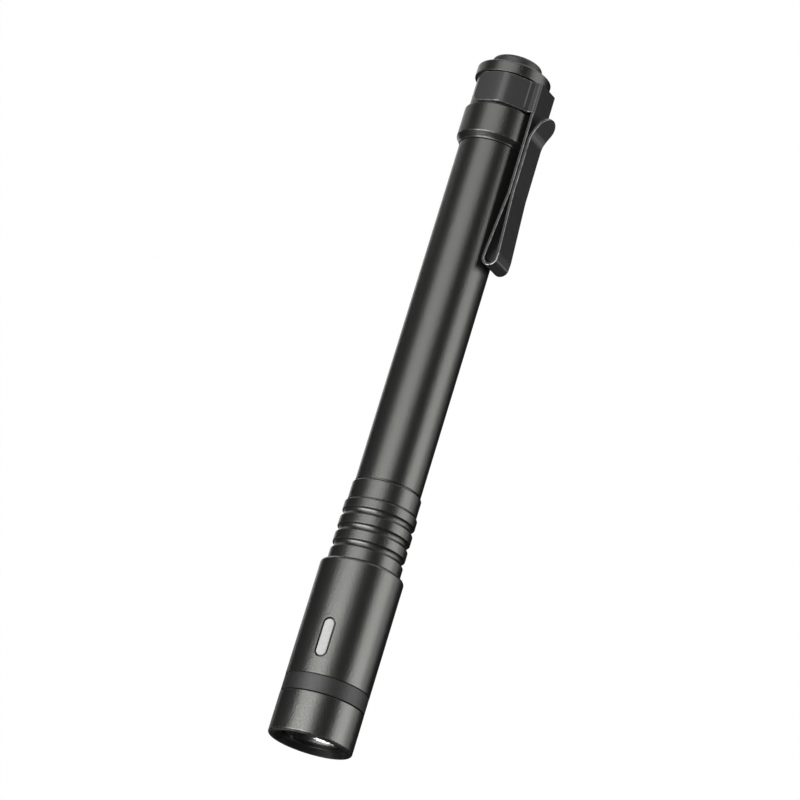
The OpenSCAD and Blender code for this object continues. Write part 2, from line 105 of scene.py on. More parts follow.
class Shell:
    """Points with their own smooth normals, an edge-wear value each, and faces."""

    def __init__(self):
        self.points, self.normals, self.edges, self.faces = [], [], [], []

    def add(self, point, normal, edge=0.0):
        """Adds a point in metres and returns its number."""
        self.points.append(tuple(point))
        self.normals.append(tuple(Vector(normal).normalized()))
        self.edges.append(edge)
        return len(self.points) - 1

    def face(self, *corners):
        """Adds a face, turned to agree with its points' normals. Doubled corners drop out."""
        ring = [c for i, c in enumerate(corners) if c != corners[i - 1]]
        if len(set(ring)) < 3:
            return
        p = [Vector(self.points[c]) for c in ring]
        across = (p[1] - p[0]).cross(p[2] - p[0]) + (p[2] - p[0]).cross(p[-1] - p[0])
        mean = sum((Vector(self.normals[c]) for c in ring), Vector())
        self.faces.append(ring if across.dot(mean) >= 0 else ring[::-1])

    def loft(self, rings):
        """Joins neighbouring closed rings of point numbers with quads."""
        for a, b in zip(rings, rings[1:]):
            for i in range(len(a)):
                j = (i + 1) % len(a)
                self.face(a[i], a[j], b[j], b[i])

    def build(self, name, material):
        """Makes the object, with its normals and the wear attribute."""
        mesh = bpy.data.meshes.new(name)
        mesh.from_pydata(self.points, [], self.faces)
        mesh.polygons.foreach_set("use_smooth", [True] * len(mesh.polygons))
        wear = mesh.attributes.new("edge", "FLOAT", "POINT")
        wear.data.foreach_set("value", self.edges)
        mesh.normals_split_custom_set_from_vertices(self.normals)
        mesh.materials.append(material)
        obj = bpy.data.objects.new(name, mesh)
        bpy.context.scene.collection.objects.link(obj)
        return obj


def rounded(loop):
    """Rounds a closed loop of corners (x, y, radius) into points (x, y, normal x, normal y, wear).
    Wear is 1 on the round of an outer corner and 0 elsewhere."""
    n = len(loop)
    p = [Vector(c[:2]) for c in loop]
    area = sum(p[i - 1].x * p[i].y - p[i].x * p[i - 1].y for i in range(n))
    side = 1.0 if area > 0 else -1.0
    out = []
    for i in range(n):
        before, after = p[i] - p[i - 1], p[(i + 1) % n] - p[i]
        into, away = before.normalized(), after.normalized()
        n0, n1 = side * Vector((into.y, -into.x)), side * Vector((away.y, -away.x))
        turn = math.atan2(into.x * away.y - into.y * away.x, into.dot(away))
        radius = loop[i][2] if len(loop[i]) > 2 else PLAIN
        if abs(turn) < STRAIGHT or radius <= 0:
            m = (n0 + n1).normalized()
            out.append((p[i].x, p[i].y, m.x, m.y, 0.0))
            continue
        slope = math.tan(abs(turn) / 2)
        reach = min(radius * slope, LONGEST_REACH * min(before.length, after.length))
        radius = reach / slope
        bulge = 1.0 if turn * side > 0 else -1.0
        centre = p[i] - into * reach - bulge * n0 * radius
        steps = max(2, math.ceil(abs(turn) / ARC_STEP))
        wears = bulge > 0 and abs(turn) > WORN_TURN
        for k in range(steps + 1):
            c, s = math.cos(turn * k / steps), math.sin(turn * k / steps)
            normal = Vector((n0.x * c - n0.y * s, n0.x * s + n0.y * c))
            q = centre + bulge * normal * radius
            out.append((q.x, q.y, normal.x, normal.y, 1.0 if wears and 0 < k < steps else 0.0))
    return out


def spin(d, r, nd, nr, a):
    """The point and the normal that an outline's point has at an angle round the axis."""
    c, s = math.cos(a), math.sin(a)
    return place(d, r * c, r * s), (-nd, nr * c, nr * s)


def turned(name, loop, material, segments=192, thread=None):
    """A piece turned about the axis from a closed outline of (station, radius, rounding)."""
    shell = Shell()
    rings = []
    for d, r, nd, nr, wear in rounded(loop):
        if r < TINY:
            i = shell.add(place(d, 0, 0), (-nd, 0, 0) if abs(nd) > TINY else (1, 0, 0))
            rings.append([i] * segments)
            continue
        ring = []
        for k in range(segments):
            a = 2 * math.pi * k / segments
            cut = thread(d, a) if thread else 0.0
            ring.append(shell.add(*spin(d, r - cut, nd, nr, a), wear))
        rings.append(ring)
    shell.loft(rings + rings[:1])
    return shell.build(name, material)


def run_of(line):
    """Length along a line of points up to each of them."""
    return np.r_[0, np.cumsum(np.linalg.norm(np.diff(line, axis=0), axis=1))]


def even_line(points, step, passes):
    """An evenly spaced copy of an open line of points, softened by some passes."""
    p = np.array(points, float)
    run = run_of(p)
    at = np.linspace(0, run[-1], max(2, round(run[-1] / step)) + 1)
    q = np.stack([np.interp(at, run, p[:, i]) for i in range(2)], 1)
    for _ in range(passes):
        q[1:-1] = 0.25 * q[:-2] + 0.5 * q[1:-1] + 0.25 * q[2:]
    return q


# Materials

MOTTLE_SCALE, GLOSS_SCALE, GRAIN_SCALE = 700, 1500, 2200  # noise of a coated surface, per metre
GLOSS_SPREAD = 0.004
GLOSS_FINER, GRAIN_FINER = 2.3, 5  # noise of a speckled surface, against the scale of its mottle


def grey(level):
    """A neutral colour."""
    return (level, level, level)


def new_material(name, colour, rough, **sockets):
    """A Principled material with plain sockets set, ready for its patterns."""
    mat = bpy.data.materials.new(name)
    mat.use_nodes = True
    shader = mat.node_tree.nodes["Principled BSDF"]
    shader.inputs["Base Color"].default_value = (*colour, 1)
    shader.inputs["Roughness"].default_value = rough
    for key, value in sockets.items():
        shader.inputs[key.replace("_", " ")].default_value = value
    mat.diffuse_color = (*colour, 1)
    return mat, mat.node_tree, shader


def object_noise(tree, scale, detail, rough=0.5):
    """Noise in the part's own coordinates, at a scale per metre."""
    coords = tree.nodes.new("ShaderNodeTexCoord")
    noise = tree.nodes.new("ShaderNodeTexNoise")
    noise.inputs["Scale"].default_value = scale
    noise.inputs["Detail"].default_value = detail
    noise.inputs["Roughness"].default_value = rough
    tree.links.new(coords.outputs["Object"], noise.inputs["Vector"])
    return noise.outputs["Fac"]


def ramp(tree, value, low, high, start=0.3, end=0.7):
    """Maps a value to a range of numbers."""
    node = tree.nodes.new("ShaderNodeMapRange")
    node.inputs["From Min"].default_value = start
    node.inputs["From Max"].default_value = end
    node.inputs["To Min"].default_value = low
    node.inputs["To Max"].default_value = high
    tree.links.new(value, node.inputs["Value"])
    return node.outputs["Result"]


def colours(tree, value, low, high):
    """Mixes two colours by a value."""
    node = tree.nodes.new("ShaderNodeMix")
    node.data_type = "RGBA"
    node.inputs["A"].default_value = (*low, 1)
    node.inputs["B"].default_value = (*high, 1)
    tree.links.new(ramp(tree, value, 0.0, 1.0), node.inputs["Factor"])
    return node.outputs["Result"]


def bump(tree, shader, height, distance):
    """Gives the shader a bump of a height in metres."""
    node = tree.nodes.new("ShaderNodeBump")
    node.inputs["Distance"].default_value = distance
    tree.links.new(height, node.inputs["Height"])
    tree.links.new(node.outputs["Normal"], shader.inputs["Normal"])


def worn(tree, shader, base, bare, scale, start, end):
    """Lays bare metal over a base colour on rounded edges, broken up by noise."""
    edge = tree.nodes.new("ShaderNodeAttribute")
    edge.attribute_name = "edge"
    mask = tree.nodes.new("ShaderNodeMath")
    mask.operation = "MULTIPLY"
    tree.links.new(edge.outputs["Fac"], mask.inputs[0])
    tree.links.new(ramp(tree, object_noise(tree, scale, 3.0), 0.0, 1.0, start, end), mask.inputs[1])
    tree.links.new(mask.outputs["Value"], shader.inputs["Metallic"])
    mix = tree.nodes.new("ShaderNodeMix")
    mix.data_type = "RGBA"
    tree.links.new(mask.outputs["Value"], mix.inputs["Factor"])
    tree.links.new(base, mix.inputs["A"])
    mix.inputs["B"].default_value = (*bare, 1)
    tree.links.new(mix.outputs["Result"], shader.inputs["Base Color"])


def coated(name, dark, light, bare, rough, ior, grain, wear, tint=(1, 1, 1, 1)):
    """Black coated metal with a blasted grain, rubbed a little along its edges. wear is the scale of its
    noise and the range in which bare metal comes through."""
    mat, tree, shader = new_material(name, light, rough, IOR=ior, Specular_Tint=tint)
    worn(tree, shader, colours(tree, object_noise(tree, MOTTLE_SCALE, 4.0, 0.6), dark, light), bare, *wear)
    gloss = object_noise(tree, GLOSS_SCALE, 4.0, 0.7)
    tree.links.new(ramp(tree, gloss, rough - GLOSS_SPREAD, rough + GLOSS_SPREAD), shader.inputs["Roughness"])
    bump(tree, shader, object_noise(tree, GRAIN_SCALE, 3.0, 0.7), grain)
    return mat


def speckled(name, dark, light, rough, scale, grain, spread=0.05, **sockets):
    """A plain moulded, cast or plated material with mottled colour and a fine grain."""
    mat, tree, shader = new_material(name, light, rough, **sockets)
    mottle = object_noise(tree, scale, 4.0, 0.6)
    tree.links.new(colours(tree, mottle, dark, light), shader.inputs["Base Color"])
    gloss = object_noise(tree, GLOSS_FINER * scale, 3.0)
    tree.links.new(ramp(tree, gloss, rough - spread, rough + spread), shader.inputs["Roughness"])
    bump(tree, shader, object_noise(tree, GRAIN_FINER * scale, 3.0, 0.6), grain)
    return mat


def thin_glass(name, colour, rough, spread):
    """Thin clear glass, smudged a little."""
    smudge_scale = 300
    mat, tree, shader = new_material(name, colour, rough, IOR=1.6, Alpha=0.3)
    smudge = object_noise(tree, smudge_scale, 3.0)
    tree.links.new(ramp(tree, smudge, rough - spread, rough + spread), shader.inputs["Roughness"])
    return mat


body_black = coated(
    "body_black", (0.0108, 0.0108, 0.0106), (0.0128, 0.0128, 0.0126), bare=grey(0.3),
    rough=0.28, ior=2.0, grain=4e-5, wear=(2500, 0.5, 0.8), tint=(1, 1, 0.95, 1))
button_black = coated(
    "button_black", grey(0.009), grey(0.013), bare=grey(0.2),
    rough=0.48, ior=1.75, grain=1e-5, wear=(2500, 0.5, 0.8))
clip_black = coated(
    "clip_black", (0.046, 0.046, 0.0462), grey(0.051), bare=(0.5, 0.5, 0.49),
    rough=0.24, ior=1.65, grain=2e-6, wear=(900, 0.3, 0.6))
band_rubber = speckled("band_rubber", grey(0.01), grey(0.016), rough=0.48, scale=900, grain=8e-6, IOR=1.65)
seal_rubber = speckled("seal_rubber", grey(0.012), grey(0.02), rough=0.5, scale=900, grain=6e-6)
key_grey = speckled("key_grey", (0.43, 0.44, 0.43), (0.51, 0.52, 0.505), rough=0.5, scale=1200, grain=4e-6)
black_plastic = speckled(
    "black_plastic", (0.014, 0.014, 0.015), (0.024, 0.024, 0.025), rough=0.5, scale=900, grain=6e-6)
ivory_plastic = speckled(
    "ivory_plastic", (0.66, 0.62, 0.52), (0.74, 0.7, 0.6), rough=0.42, scale=900, grain=4e-6)
white_board = speckled(
    "white_board", (0.74, 0.74, 0.72), (0.82, 0.82, 0.8), rough=0.45, scale=1500, grain=2e-6)
green_board = speckled(
    "green_board", (0.012, 0.1, 0.04), (0.02, 0.16, 0.06), rough=0.35, scale=1500, grain=3e-6)
brass = speckled(
    "brass", (0.62, 0.45, 0.18), (0.76, 0.58, 0.26), rough=0.28, scale=900, grain=3e-6, Metallic=1.0)
steel_wire = speckled("steel_wire", grey(0.5), grey(0.62), rough=0.3, scale=900, grain=3e-6, Metallic=1.0)
bare_metal = speckled(
    "bare_metal", (0.58, 0.59, 0.6), (0.7, 0.71, 0.72), rough=0.32, scale=900, grain=4e-6, Metallic=1.0)
mirror_cup = speckled(
    "mirror_cup", (0.83, 0.83, 0.84), grey(0.9), rough=0.36, scale=1800, grain=5e-7, spread=0.03,
    Metallic=1.0)
phosphor = speckled("phosphor", (0.78, 0.68, 0.16), (0.88, 0.8, 0.3), rough=0.35, scale=2500, grain=3e-6)
cell_sleeve = speckled(
    "cell_sleeve", (0.08, 0.11, 0.15), (0.12, 0.15, 0.19), rough=0.3, scale=700, grain=2e-6)
lens_glass = thin_glass("lens_glass", (0.02, 0.035, 0.03), rough=0.11, spread=0.01)


def finish_piece(obj, body, slot, *replaced):
    """Rides the piece on its body and hides the nodes it stands for. Its slot is not used."""
    if body:
        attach(obj, body)
    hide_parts(*replaced)


# Bezel, with a sloped lip in front of the lens's seat

BEZEL_LEN, BEZEL_BORE_R, RIM_ROUND = 8.3, 7.6, 0.5
LIP_R, WINDOW_R, Z_WINDOW, SEAT_R = 7.25, 6.2, 1.1, 6.95
bezel = turned("bezel_shell", [
    (0.0, LIP_R, EASED), (0.0, HEAD_R, RIM_ROUND), (BEZEL_LEN, HEAD_R, EASED),
    (BEZEL_LEN, BEZEL_BORE_R, CRISP), (Z_GASKET, BEZEL_BORE_R), (Z_GASKET, SEAT_R), (Z_SEAT, SEAT_R),
    (Z_SEAT, WINDOW_R, CRISP), (Z_WINDOW, WINDOW_R, CRISP)], body_black)
finish_piece(bezel, "body", "anodised", "bezel")


# Soft band, with a narrow gap before the sleeve

BAND_R, GAP_R, Z_GAP = HEAD_R - 0.02, HEAD_R - 0.3, Z_SLEEVE - 0.12
band = turned("soft_band", [
    (Z_BAND, NOSE_R), (Z_BAND, BAND_R, EASED), (Z_GAP, BAND_R, EASED), (Z_GAP, GAP_R), (Z_SLEEVE, GAP_R),
    (Z_SLEEVE, NOSE_R)], band_rubber)
finish_piece(band, "body", "band_rubber", "band_ring")


# Neck with its ring grooves, between two dark seams

GROOVES, GROOVE_PITCH, GROOVE_HALF, GROOVE_DEPTH, FLOOR_ROUND, FLOOR_SHARE = 3, 3.4, 0.8, 0.45, 0.25, 0.78
NECK_SPIGOT_LEN, NECK_SPIGOT_R, SOCKET_LEN, SOCKET_R = 5.5, 7.0, 6.9, 6.35
SEAM, NECK_SEAM_R, LAND_SEAM_R, CHAMFER = 0.2, 7.15, 6.85, 0.32


def ring_groove(middle):
    """Corners of a hollow ring groove in the neck, its floor an arc."""
    r = (GROOVE_HALF ** 2 + GROOVE_DEPTH ** 2) / (2 * GROOVE_DEPTH)
    reach = FLOOR_SHARE * math.asin(GROOVE_HALF / r)
    floor = [(middle + r * math.sin(a), NECK_R - GROOVE_DEPTH + r * (1 - math.cos(a)), FLOOR_ROUND)
             for a in np.linspace(-reach, reach, 6)]
    return [(middle - GROOVE_HALF, NECK_R, SOFT), *floor, (middle + GROOVE_HALF, NECK_R, SOFT)]


neck = turned("ribbed_neck", [
    (Z_NECK - NECK_SPIGOT_LEN, BORE_R), (Z_NECK - NECK_SPIGOT_LEN, NECK_SPIGOT_R, BLUNT),
    (Z_NECK, NECK_SPIGOT_R), (Z_NECK, NECK_SEAM_R), (Z_NECK + SEAM, NECK_SEAM_R),
    (Z_NECK + SEAM, NECK_R, EASED),
    *[corner for k in range(GROOVES) for corner in ring_groove(Z_NECK + GROOVE_PITCH * (k + 1))],
    (Z_LAND - CHAMFER, NECK_R, SOFT), (Z_LAND, NECK_R - CHAMFER, CRISP), (Z_LAND, LAND_SEAM_R),
    (Z_LAND + SEAM, LAND_SEAM_R), (Z_LAND + SEAM, LAND_R, FINE), (Z_TUBE - CHAMFER, LAND_R, SOFT),
    (Z_TUBE, LAND_R - CHAMFER, CRISP), (Z_TUBE, SOCKET_R), (Z_TUBE - SOCKET_LEN, SOCKET_R),
    (Z_TUBE - SOCKET_LEN, BORE_R)], body_black)
finish_piece(neck, "body", "anodised", "grip_neck")


# Plain tube, with a seam at its front and a tail spigot that has a seal's groove and a thread

TUBE_SPIGOT_LEN, TAIL_SPIGOT_LEN, TAIL_ROUND = 6.85, 4.9, 0.3
TUBE_SEAM, TUBE_SEAM_R, CAP_GAP = 0.28, 6.45, 0.05
SEAL_FROM, SEAL_TO, SEAL_R = Z_CAP + 0.45, Z_CAP + 1.35, 5.99
THREAD_FROM, THREAD_TO, THREAD_PITCH, THREAD_DEPTH, THREAD_FADE = Z_CAP + 1.8, Z_CAP + 4.4, 0.6, 0.26, 0.3
THREAD_RINGS, THREAD_STEP, THREAD_LEAD = 46, 0.06, 0.1


def helix(d, a):
    """Depth of the tail thread at a station and an angle."""
    fade = max(0.0, min(1.0, (d - THREAD_FROM) / THREAD_FADE, (THREAD_TO - d) / THREAD_FADE))
    turn = (d / THREAD_PITCH - a / (2 * math.pi)) % 1.0
    return THREAD_DEPTH * fade * (1 - abs(2 * turn - 1))


tube = turned("plain_tube", [
    (Z_TUBE - TUBE_SPIGOT_LEN, BORE_R), (Z_TUBE - TUBE_SPIGOT_LEN, SPIGOT_R, BLUNT), (Z_TUBE, SPIGOT_R),
    (Z_TUBE, TUBE_SEAM_R), (Z_TUBE + TUBE_SEAM, TUBE_SEAM_R), (Z_TUBE + TUBE_SEAM, TUBE_R, EASED),
    (Z_CAP - CAP_GAP, TUBE_R, SOFT), (Z_CAP - CAP_GAP, SPIGOT_R), (SEAL_FROM, SPIGOT_R), (SEAL_FROM, SEAL_R),
    (SEAL_TO, SEAL_R), (SEAL_TO, SPIGOT_R),
    *[(THREAD_FROM - THREAD_LEAD + THREAD_STEP * k, SPIGOT_R, SHARP) for k in range(THREAD_RINGS)],
    (Z_CAP + TAIL_SPIGOT_LEN, SPIGOT_R, TAIL_ROUND), (Z_CAP + TAIL_SPIGOT_LEN, BORE_R, EASED)],
    body_black, segments=160, thread=helix)
finish_piece(tube, "body", "anodised", "body_tube")


# Tail cap: a chamfered collar, the clip's groove, and a web with the button's hole

CAP_BORE_R, CAP_LIP_R, CAP_FOOT_R, CAP_FOOT = 6.35, 6.95, 6.98, 0.3
LIP_ROUND, COLLAR_ROUND, CAP_ROUND = 0.15, 0.4, 0.35
GROOVE_SLOPE, REAR_SLOPE = 0.3, 0.12
BUTTON_HOLE_R, CAP_WEB, SWITCH_R, SWITCH_DEPTH = 5.33, 1.8, 6.05, 10.8
cap = turned("tail_shell", [
    (Z_CAP, CAP_BORE_R, EASED), (Z_CAP, CAP_LIP_R, LIP_ROUND), (Z_CAP + CAP_FOOT, CAP_FOOT_R, BLUNT),
    (Z_COLLAR, CAP_R, COLLAR_ROUND), (Z_GROOVE - GROOVE_SLOPE, CAP_R, SOFT), (Z_GROOVE, GROOVE_R, EASED),
    (Z_REAR, GROOVE_R, EASED), (Z_REAR + REAR_SLOPE, CAP_R, SOFT), (Z_END, CAP_R, CAP_ROUND),
    (Z_END, BUTTON_HOLE_R, SOFT), (Z_END - CAP_WEB, BUTTON_HOLE_R), (Z_END - CAP_WEB, SWITCH_R),
    (Z_END - SWITCH_DEPTH, SWITCH_R), (Z_END - SWITCH_DEPTH, CAP_BORE_R)], body_black)
finish_piece(cap, "tail_cap", "anodised", "tail_cap")


# Tail button, held by a flange inside the cap's web

FLANGE_R, FLANGE_FROM, FLANGE_TO, BUTTON_ROUND = 5.97, Z_END - 3.05, Z_END - 1.85, 0.75
button = turned("push_button", [
    (FLANGE_FROM, 0.0, SHARP), (FLANGE_FROM, FLANGE_R), (FLANGE_TO, FLANGE_R), (FLANGE_TO, BUTTON_R),
    (Z_TOP, BUTTON_R, BUTTON_ROUND), (Z_TOP, 0.0, SHARP)], button_black)
finish_piece(button, "tail_button", "button_face", "tail_button")


# Parabolic cup, from its mouth to its throat, with a rim that rests on the sleeve

MOUTH_R, THROAT_R, CUP_DEPTH, CUP_WALL, CUP_NECK_R, CUP_RIM_R = 6.2, 2.0, 6.85, 0.5, 6.5, 7.45
BOWL_ROUND = 3.0
bowl = [(Z_CUP + CUP_DEPTH * (MOUTH_R ** 2 - r * r) / (MOUTH_R ** 2 - THROAT_R ** 2), r)
        for r in np.linspace(MOUTH_R, THROAT_R, 16)]
cup = turned("parabolic_cup", [
    (Z_CUP, CUP_RIM_R, CRISP), *[(d, r, BOWL_ROUND) for d, r in bowl],
    *[(d, r + CUP_WALL, BLUNT) for d, r in bowl[:1:-1]], (Z_NOSE, CUP_NECK_R), (Z_NOSE, CUP_RIM_R)],
    mirror_cup)
finish_piece(cup, "body", "mirror_cup", "reflector")


# Lens, flat behind and slightly domed in front

LENS_R, DOME_R, Z_DOME, DOME_RISE, DOME_ROUND, LENS_PLAY = 6.9, 6.1, 0.9, 0.5, 2.0, 0.02
STEP_R, Z_STEP = DOME_R + LENS_PLAY, Z_SEAT + LENS_PLAY
dome = [(Z_DOME + DOME_RISE * (r / DOME_R) ** 2, r, DOME_ROUND) for r in np.linspace(DOME_R, 0.7, 8)]
lens = turned("front_lens", [
    (Z_GASKET, 0.0, SHARP), (Z_GASKET, LENS_R, FINE), (Z_STEP, LENS_R, FINE), (Z_STEP, STEP_R, CRISP),
    *dome[1:], (Z_DOME, 0.0, SHARP)], lens_glass)
finish_piece(lens, "body", "lens_glass", "lens")


# The head sleeve with its slot, and the oval key in it

KEY_ANGLE, Z_KEY, SLOT_LEN, SLOT_W, KEY_GAP = math.radians(80), 19.5, 8.1, 2.6, 0.25
SLOT_RUN = (SLOT_LEN - SLOT_W) / 2
SLEEVE_BORE_R, NECK_SOCKET_R, Z_NECK_SOCKET, SHOULDER_ROUND = 6.95, 7.05, 14.4, 1.05
KEY_OUT = Vector((0, math.cos(KEY_ANGLE), math.sin(KEY_ANGLE)))
KEY_SIDE = Vector((0, -math.sin(KEY_ANGLE), math.cos(KEY_ANGLE)))
TO_TAIL = Vector((-1, 0, 0))


def on_key(a, b, height):
    """A point at a millimetres across and b along the key, at a height over the axis."""
    return (TO_TAIL * (Z_KEY + b) + KEY_OUT * height + KEY_SIDE * a) * MM


def slot_wall(shell, border):
    """Fills a window in the sleeve from its border to the slot's edge, and turns down into the slot."""
    edge_r, depth_in, lip_wear = 0.14, 1.35, 0.6
    steps = [(t, 0.0, 0.0, 0.0) for t in np.linspace(0, 1, 6)]
    for k in range(1, 5):
        turn = math.pi / 2 * k / 4
        steps.append((1.0, edge_r * (1 - math.cos(turn)), edge_r * math.sin(turn), turn))
    steps.append((1.0, depth_in, edge_r, math.pi / 2))
    loops = []
    for t, depth, inset, turn in steps:
        wear = lip_wear if 0 < turn < 1.5 else 0.0
        loop = []
        for a, b in border:
            middle = Vector((0.0, max(-SLOT_RUN, min(SLOT_RUN, b))))
            out = (Vector((a, b)) - middle).normalized()
            lip = middle + out * (SLOT_W / 2 + edge_r - inset)
            q = Vector((a, b)).lerp(lip, t)
            surface = math.sqrt(HEAD_R ** 2 - q.x ** 2)
            face = (KEY_OUT * surface + KEY_SIDE * q.x) / HEAD_R
            inward = -(KEY_SIDE * out.x + TO_TAIL * out.y)
            normal = face * math.cos(turn) + inward * math.sin(turn)
            loop.append(shell.add(on_key(q.x, q.y, surface - depth), normal, wear))
        loops.append(loop)
    shell.loft(loops)


def sleeve_with_slot():
    """The head's turned sleeve, its key slot cut with a rounded edge."""
    segments, columns, rows, half_len = 180, 8, 14, 5.3
    outline = rounded([
        (Z_NOSE, SLEEVE_BORE_R), (Z_NOSE, NOSE_R, EASED), (Z_SLEEVE, NOSE_R), (Z_SLEEVE, HEAD_R, EASED),
        (Z_NECK, HEAD_R, SHOULDER_ROUND), (Z_NECK, NECK_SOCKET_R), (Z_NECK_SOCKET, NECK_SOCKET_R),
        (Z_NECK_SOCKET, SLEEVE_BORE_R)])
    at_full = [point[1] > HEAD_R - TINY for point in outline]
    first = at_full.index(True) + 1
    along_key = [-half_len + 2 * half_len * k / rows for k in range(rows + 1)]
    outline[first:first] = [(Z_KEY + b, HEAD_R, 0.0, 1.0, 0.0) for b in along_key]
    shell = Shell()
    angles = [KEY_ANGLE + 2 * math.pi * k / segments for k in range(segments)]
    rings = [[shell.add(*spin(d, r, nd, nr, a), wear) for a in angles] for d, r, nd, nr, wear in outline]
    for i, (low, high) in enumerate(zip(rings, rings[1:] + rings[:1])):
        beside_key = first <= i < first + rows
        for k in range(segments):
            if beside_key and (k < columns or k >= segments - columns):
                continue
            j = (k + 1) % segments
            shell.face(low[k], low[j], high[j], high[k])
    across = [HEAD_R * math.sin(2 * math.pi * k / segments) for k in range(-columns, columns + 1)]
    slot_wall(shell, [
        *[(a, along_key[0]) for a in across[:-1]], *[(across[-1], b) for b in along_key[:-1]],
        *[(a, along_key[-1]) for a in across[:0:-1]], *[(across[0], b) for b in along_key[:0:-1]]])
    return shell.build("head_shell", body_black)


def oval_key():
    """The key: a rounded stadium that follows the head's curve, on a flange inside the sleeve."""
    count, round_r, sunk, brim = 64, 0.22, 0.08, 0.85
    half, face_r, top, foot = SLOT_W / 2 - KEY_GAP, HEAD_R - sunk, 6.69, 6.09
    flange = half + brim
    shell = Shell()
    ring = []
    for k in range(count):
        a = 2 * math.pi * (k + 0.5) / count
        ring.append((math.cos(a), math.sin(a), SLOT_RUN if math.sin(a) > 0 else -SLOT_RUN))
    steps = [(half * t, 0.0, 0.0) for t in (0.04, 0.3, 0.55)] + [(half - round_r, 0.0, 0.0)]
    for k in range(1, 6):
        turn = math.pi / 2 * k / 5
        steps.append((half - round_r + round_r * math.sin(turn), round_r * (1 - math.cos(turn)), turn))
    loops = []
    for w, depth, turn in steps:
        loop = []
        for c, s, middle in ring:
            a = c * w
            surface = math.sqrt(face_r ** 2 - a * a)
            face = (KEY_OUT * surface + KEY_SIDE * a) / face_r
            normal = face * math.cos(turn) + (KEY_SIDE * c + TO_TAIL * s) * math.sin(turn)
            loop.append(shell.add(on_key(a, middle + s * w, surface - depth), normal))
        loops.append(loop)
    shell.loft(loops)
    shell.face(*loops[0])

    def level(w, height, facing):
        """A ring of the key's outline at a height, facing out of the head, into it or sideways."""
        return [shell.add(
            on_key(c * w, middle + s * w, height), KEY_OUT * facing if facing else KEY_SIDE * c + TO_TAIL * s)
            for c, s, middle in ring]

    shell.loft([loops[-1], level(half, top, 0)])
    shell.loft([level(half, top, 1), level(flange, top, 1)])
    shell.loft([level(flange, top, 0), level(flange, foot, 0)])
    shell.face(*level(flange, foot, -1))
    return shell.build("oval_key", key_grey)


finish_piece(sleeve_with_slot(), "body", "anodised", "head_sleeve")
finish_piece(oval_key(), "side_key", "key_plastic", "side_key")


# The folded clip: a band round the cap with its plate, the run to the fold, and the fold with the outer run

CLIP_T, CLIP_MID, Z_PLATE, PLATE_LEN = 0.6, 8.7, 136.95, 6.6
BASE_W, FOLD_W, TIP_R = 3.2, 2.85, 2.72
FOLD_D, FOLD_V, FOLD_R, FOLD_END = 104.5, 8.75, 1.55, math.radians(-243)
RUN_V, Z_KNEE, KNEE_RISE, Z_TIP = 9.4, 119.1, 0.04, 136.85
ARM_FROM, ARM_TO, Z_BREAK, TONGUE_FROM, TONGUE_TO = 136.8, 110.0, 107.3, 107.8, 124.0
STRIP_ROUND, STRIP_INSET, ROUND_SHARE, INSET_SHARE = 0.13, 0.28, 0.3, 0.15
STEEPEST, FACE_T, END_WEAR = 4, 0.2, 0.8


def section(low, high, square):
    """Points (w, t, normal w, normal t, wear) round a strip's cross-section.
    A square section has no rounded low edge."""
    width = high - low
    h, r = CLIP_T / 2, min(STRIP_ROUND, ROUND_SHARE * width)
    inset = r + min(STRIP_INSET, INSET_SHARE * width)
    out = [(low + inset, -h, 0, -1, 0.0), (high - inset, -h, 0, -1, 0.0)]

    def corner(w, t, start):
        for k, wear in enumerate((0.0, 1.0, 1.0, 0.0)):
            a = math.radians(start + 30 * k)
            out.append((w + r * math.cos(a), t + r * math.sin(a), math.cos(a), math.sin(a), wear))

    corner(high - r, -h + r, -90)
    out.append((high, 0.0, 1, 0, 0.0))
    corner(high - r, h - r, 0)
    out.extend([(high - inset, h, 0, 1, 0.0), (low + inset, h, 0, 1, 0.0)])
    if square:
        out.extend([(low, h, 0, 1, 0.0)] * 4 + [(low, 0.0, -1, 0, 0.0)] + [(low, -h, 0, -1, 0.0)] * 4)
    else:
        corner(low + r, h - r, 90)
        out.append((low, 0.0, -1, 0, 0.0))
        corner(low + r, -h + r, 180)
    return out


def strip(shell, line, edges, to_space, square=(), crease=(), rub=(), open_ends=(False, False)):
    """A flat strip along a line of (a, b) with rounded edges. edges gives its low and high side at each
    point, and to_space puts (a, b, w) into space. square lists points with no rounded low edge, crease gives
    the wear across its face, and rub multiplies the wear of its edges."""
    run = run_of(line)
    low_slope, high_slope = (
        np.clip(np.gradient(np.array(edges)[:, k], run), -STEEPEST, STEEPEST) for k in (0, 1))
    origin = Vector(to_space(0, 0, 0))
    across = (Vector(to_space(0, 0, 1)) - origin).normalized()
    rings = []
    for i in range(len(line)):
        d = line[min(i + 1, len(line) - 1)] - line[max(i - 1, 0)]
        d = d / np.linalg.norm(d)
        ahead = (Vector(to_space(d[0], d[1], 0)) - origin).normalized()
        up = (Vector(to_space(-d[1], d[0], 0)) - origin).normalized()
        ring = []
        for w, t, nw, nt, wear in section(*edges[i], i in square):
            a, b = line[i] + np.array([-d[1], d[0]]) * t
            tilt = -high_slope[i] * nw if nw > 0 else -low_slope[i] * nw
            if rub:
                wear *= rub[i]
            if crease and abs(t) > FACE_T:
                wear = max(wear, crease[i])
            ring.append(shell.add(to_space(a, b, w), across * nw + ahead * tilt + up * nt, wear))
        rings.append(ring)
    shell.loft(rings)
    for end, inner, opened in zip((0, -1), (1, -2), open_ends):
        if not opened:
            out = Vector(to_space(*line[end], 0.0)) - Vector(to_space(*line[inner], 0.0))
            shell.face(*[shell.add(shell.points[c], out, END_WEAR) for c in rings[end]])


